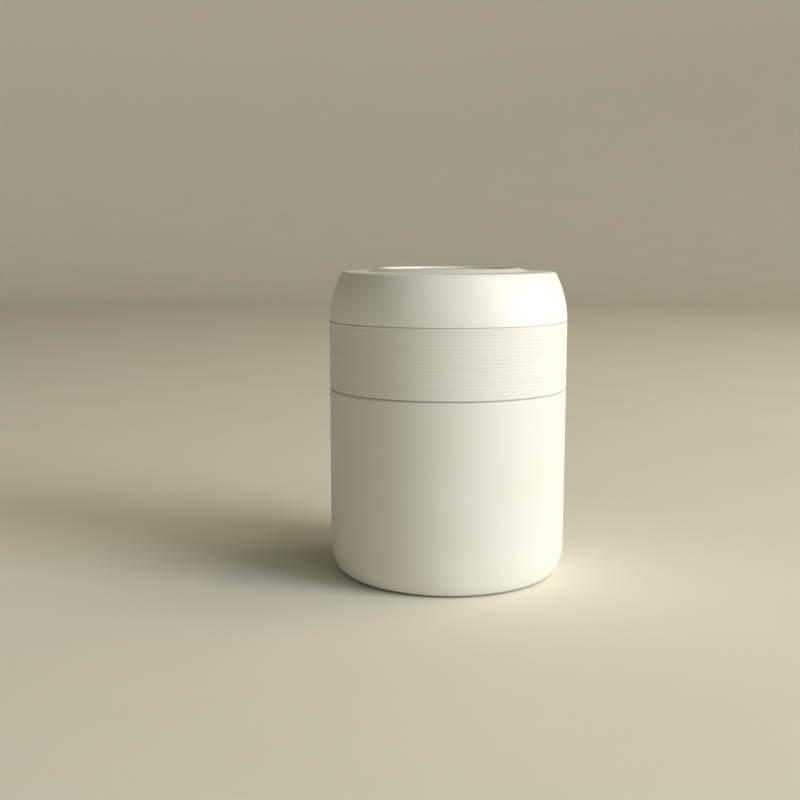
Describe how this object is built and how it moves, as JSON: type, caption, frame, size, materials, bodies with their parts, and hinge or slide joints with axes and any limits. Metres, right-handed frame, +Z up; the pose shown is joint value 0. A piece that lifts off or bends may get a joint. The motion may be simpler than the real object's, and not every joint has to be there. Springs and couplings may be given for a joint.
{
  "type": "insulated food jar",
  "caption": "Double-walled insulated food jar with a wide screw lid, a ribbed grip band and a spring-loaded pressure-release button in the lid's top.",
  "frame": {"origin": "centre of the underside of the base pad, on the surface that the jar stands on", "axes": "+Z up along the axis of the jar and lid; the jar is turned about Z, so X and Y are equal apart from where its thread ridges begin"},
  "size_m": [0.104, 0.104, 0.1343],
  "materials": {
    "shell_coating": "matte powder coat, warm white, faint orange-peel",
    "bare_steel": "satin, fine turned marks",
    "copper_foil": "thin rolled copper foil",
    "getter_pellet": "pressed powder, dull",
    "port_bead": "set bead, dull",
    "pad_silicone": "soft matte silicone, warm white",
    "gasket_silicone": "translucent milky silicone",
    "cap_plastic": "matte moulded, warm white",
    "band_plastic": "soft-touch moulded with fine level ribs, warm off-white",
    "liner_plastic": "satin moulded, light grey",
    "lid_foam": "closed-cell foam",
    "spring_steel": "drawn stainless wire"
  },
  "bodies": {
    "jar": {"outer_shell": "shell_coating", "shell_bottom": "bare_steel", "inner_vessel": "bare_steel", "copper_wrap": "copper_foil", "getter_cup": "bare_steel", "getter": "getter_pellet", "port_seal": "port_bead", "base_pad": "pad_silicone"},
    "gasket": {"lid_gasket": "gasket_silicone"},
    "lid": {"lid_cap": "cap_plastic", "grip_band": "band_plastic", "lid_liner": "liner_plastic", "lid_insulation": "lid_foam", "insulation_cover": "liner_plastic", "button_spring": "spring_steel"},
    "button": {"button": "cap_plastic", "valve_stem": "liner_plastic", "valve_seal": "gasket_silicone", "seal_retainer": "liner_plastic"}
  },
  "joints": [
    {"name": "lid_rise", "type": "slide", "parent": "jar", "child": "gasket", "axis": [0, 0, 1], "range_m": [0, 0.0481]},
    {"name": "lid_turn", "type": "hinge", "parent": "gasket", "child": "lid", "pos_m": [0, 0, 0.1], "axis": [0, 0, 1], "range_deg": [0, 1440]},
    {"name": "button_press", "type": "slide", "parent": "lid", "child": "button", "axis": [0, 0, -1], "range_m": [0, 0.002], "stiffness_N_per_m": 600, "springref_m": -0.0048, "deforming": ["button_spring"]}
  ],
  "couplings": [
    {"joint": "lid_rise", "follows": "lid_turn", "m_per_rad": 0.0019099}
  ]
}
